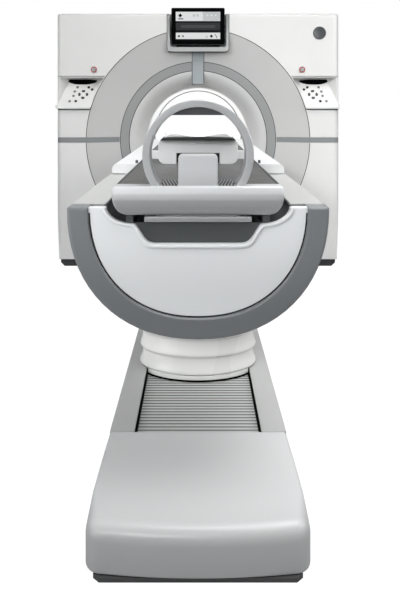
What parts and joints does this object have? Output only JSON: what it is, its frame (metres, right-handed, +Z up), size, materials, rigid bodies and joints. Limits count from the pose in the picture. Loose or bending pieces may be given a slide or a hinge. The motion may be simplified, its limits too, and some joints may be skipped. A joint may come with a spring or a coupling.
{
  "type": "ct scanner",
  "caption": "Ring-shaped imaging gantry with a dished front, tilted display and hidden spinning rotor, and a patient table with sliding cradle on a bellows lift column.",
  "frame": {"origin": "on the floor straight under the isocentre, halfway through the gantry's depth", "axes": "+X right seen from the foot of the table, +Y from the table towards the gantry along the bore, +Z up"},
  "size_m": [2.158, 3.6838, 1.9668],
  "materials": {
    "cover_white": "satin",
    "cover_grey": "satin",
    "trim_grey": "matte",
    "light_bar": "satin",
    "bezel_black": "gloss",
    "key_grey": "matte",
    "stop_red": "satin",
    "frame_steel": "satin",
    "bright_steel": "brushed",
    "copper": "satin",
    "rotor_alloy": "satin",
    "rotor_box": "painted",
    "silver": "satin",
    "plinth_black": "matte",
    "bellows_white": "matte",
    "slat_grey": "satin",
    "carbon": "satin",
    "pan_dark": "matte",
    "pad_white": "matte"
  },
  "bodies": {
    "gantry": {"gantry_frame": "frame_steel", "front_ring_cover": "cover_white", "front_upper_left_panel": "cover_white", "front_upper_right_panel": "cover_white", "front_lower_left_panel": "cover_grey", "front_lower_right_panel": "cover_grey", "left_side_cover": "cover_grey", "right_side_cover": "cover_grey", "top_cover": "cover_white", "rear_cover": "cover_grey", "front_bell": "cover_white", "bore_window": "cover_white", "rear_bell": "cover_white", "ring_trim": "trim_grey", "stripe_trims": "trim_grey", "light_bar": "light_bar", "display_bay": "cover_grey", "display_housing": "bezel_black", "left_control_panel": "cover_white", "right_control_panel": "cover_white", "main_bearing": "bright_steel", "drive_stator": "copper", "base_plinth": "plinth_black", "base_rails": "bright_steel", "base_cover": "cover_white", "base_nose": "cover_white"},
    "rotor": {"rotor_drum": "rotor_alloy", "xray_tube": "rotor_box", "collimator": "rotor_box", "detector_array": "rotor_box", "hv_generator": "rotor_box", "slip_ring": "copper"},
    "carriage": {"pedestal_carriage": "frame_steel", "slat_cover": "slat_grey", "lift_outer_tube": "bright_steel", "column_bellows": "bellows_white"},
    "lift_stage": {"lift_middle_tube": "bright_steel"},
    "table": {"lift_inner_tube": "bright_steel", "table_shell": "cover_grey", "table_rim": "trim_grey", "end_panel": "cover_white", "table_pan": "pan_dark", "side_shoulders": "cover_white"},
    "cradle": {"cradle_top": "carbon", "cradle_end": "silver", "hoop_handle": "trim_grey", "hoop_grip": "plinth_black", "head_mount": "cover_white", "head_tray": "carbon", "head_pad": "pad_white"},
    "left_estop_body": {"left_estop": "stop_red"},
    "right_estop_body": {"right_estop": "stop_red"},
    "left_key_up_body": {"left_key_up": "key_grey"},
    "left_key_down_body": {"left_key_down": "key_grey"},
    "left_key_in_body": {"left_key_in": "key_grey"},
    "left_key_out_body": {"left_key_out": "key_grey"},
    "right_key_up_body": {"right_key_up": "key_grey"},
    "right_key_down_body": {"right_key_down": "key_grey"},
    "right_key_in_body": {"right_key_in": "key_grey"},
    "right_key_out_body": {"right_key_out": "key_grey"}
  },
  "joints": [
    {"name": "rotor_spin", "type": "hinge", "parent": "gantry", "child": "rotor", "pos_m": [0, 0, 0.965], "axis": [0, 1, 0], "continuous": true},
    {"name": "pedestal_travel", "type": "slide", "parent": "gantry", "child": "carriage", "axis": [0, 1, 0], "range_m": [-0.06, 0.25]},
    {"name": "table_lift", "type": "slide", "parent": "carriage", "child": "table", "axis": [0, 0, 1], "range_m": [-0.3, 0], "deforming": ["column_bellows"]},
    {"name": "lift_stage", "type": "slide", "parent": "carriage", "child": "lift_stage", "axis": [0, 0, 1], "range_m": [-0.15, 0]},
    {"name": "cradle_slide", "type": "slide", "parent": "table", "child": "cradle", "axis": [0, 1, 0], "range_m": [0, 1.7]},
    {"name": "left_estop_press", "type": "slide", "parent": "gantry", "child": "left_estop_body", "axis": [0, 1, 0], "range_m": [0, 0.005], "stiffness_N_per_m": 2000},
    {"name": "right_estop_press", "type": "slide", "parent": "gantry", "child": "right_estop_body", "axis": [0, 1, 0], "range_m": [0, 0.005], "stiffness_N_per_m": 2000},
    {"name": "left_key_up_press", "type": "slide", "parent": "gantry", "child": "left_key_up_body", "axis": [0, 0.8969, -0.4422], "range_m": [0, 0.0025], "stiffness_N_per_m": 800},
    {"name": "left_key_down_press", "type": "slide", "parent": "gantry", "child": "left_key_down_body", "axis": [0, 0.8969, -0.4422], "range_m": [0, 0.0025], "stiffness_N_per_m": 800},
    {"name": "left_key_in_press", "type": "slide", "parent": "gantry", "child": "left_key_in_body", "axis": [0, 0.8969, -0.4422], "range_m": [0, 0.0025], "stiffness_N_per_m": 800},
    {"name": "left_key_out_press", "type": "slide", "parent": "gantry", "child": "left_key_out_body", "axis": [0, 0.8969, -0.4422], "range_m": [0, 0.0025], "stiffness_N_per_m": 800},
    {"name": "right_key_up_press", "type": "slide", "parent": "gantry", "child": "right_key_up_body", "axis": [0, 0.8969, -0.4422], "range_m": [0, 0.0025], "stiffness_N_per_m": 800},
    {"name": "right_key_down_press", "type": "slide", "parent": "gantry", "child": "right_key_down_body", "axis": [0, 0.8969, -0.4422], "range_m": [0, 0.0025], "stiffness_N_per_m": 800},
    {"name": "right_key_in_press", "type": "slide", "parent": "gantry", "child": "right_key_in_body", "axis": [0, 0.8969, -0.4422], "range_m": [0, 0.0025], "stiffness_N_per_m": 800},
    {"name": "right_key_out_press", "type": "slide", "parent": "gantry", "child": "right_key_out_body", "axis": [0, 0.8969, -0.4422], "range_m": [0, 0.0025], "stiffness_N_per_m": 800}
  ],
  "couplings": [
    {"joint": "lift_stage", "follows": "table_lift", "ratio": 0.5}
  ]
}
